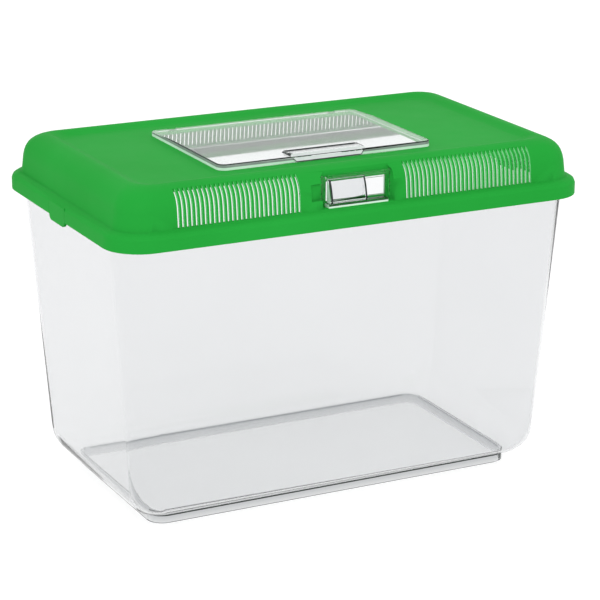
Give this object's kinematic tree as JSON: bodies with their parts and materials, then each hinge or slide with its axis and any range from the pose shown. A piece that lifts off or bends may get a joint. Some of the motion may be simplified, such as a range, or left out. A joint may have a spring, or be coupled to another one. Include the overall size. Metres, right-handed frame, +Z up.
{
  "type": "plastic pet keeper",
  "caption": "Clear tapered plastic pet tub with a vented push-on lid, a clear hinged top hatch, a sliding feed port shutter and side snap tongues.",
  "frame": {"origin": "centre of the object's bounding box at the bottom of the tub's foot", "axes": "+X along the length, -Y towards the front with the feed port, +Z up"},
  "size_m": [0.46, 0.279, 0.3182],
  "materials": {
    "clear_tub": "clear moulded polystyrene, glossy",
    "green_lid": "green moulded polypropylene, satin gloss",
    "clear_trim": "clear moulded polystyrene, glossy"
  },
  "bodies": {
    "tub": {"tub": "clear_tub"},
    "lid": {"lid": "green_lid", "feed_frame": "clear_trim"},
    "hatch": {"hatch": "clear_trim"},
    "feed_shutter": {"feed_shutter": "clear_trim"},
    "left_tongue": {"left_snap_tongue": "green_lid"},
    "right_tongue": {"right_snap_tongue": "green_lid"}
  },
  "joints": [
    {"name": "lid_lift", "type": "slide", "parent": "tub", "child": "lid", "axis": [0, 0, 1], "range_m": [0, 0.06]},
    {"name": "hatch_hinge", "type": "hinge", "parent": "lid", "child": "hatch", "pos_m": [-0.0054, 0.0722, 0.3125], "axis": [-1, 0, 0], "range_deg": [0, 110]},
    {"name": "feed_slide", "type": "slide", "parent": "lid", "child": "feed_shutter", "axis": [1, 0, 0], "range_m": [0, 0.02]},
    {"name": "left_tongue_flex", "type": "hinge", "parent": "lid", "child": "left_tongue", "pos_m": [-0.2288, 0, 0.2758], "axis": [0, 1, 0], "range_deg": [0, 12], "stiffness_Nm_per_rad": 0.5},
    {"name": "right_tongue_flex", "type": "hinge", "parent": "lid", "child": "right_tongue", "pos_m": [0.2288, 0, 0.2758], "axis": [0, -1, 0], "range_deg": [0, 12], "stiffness_Nm_per_rad": 0.5}
  ]
}
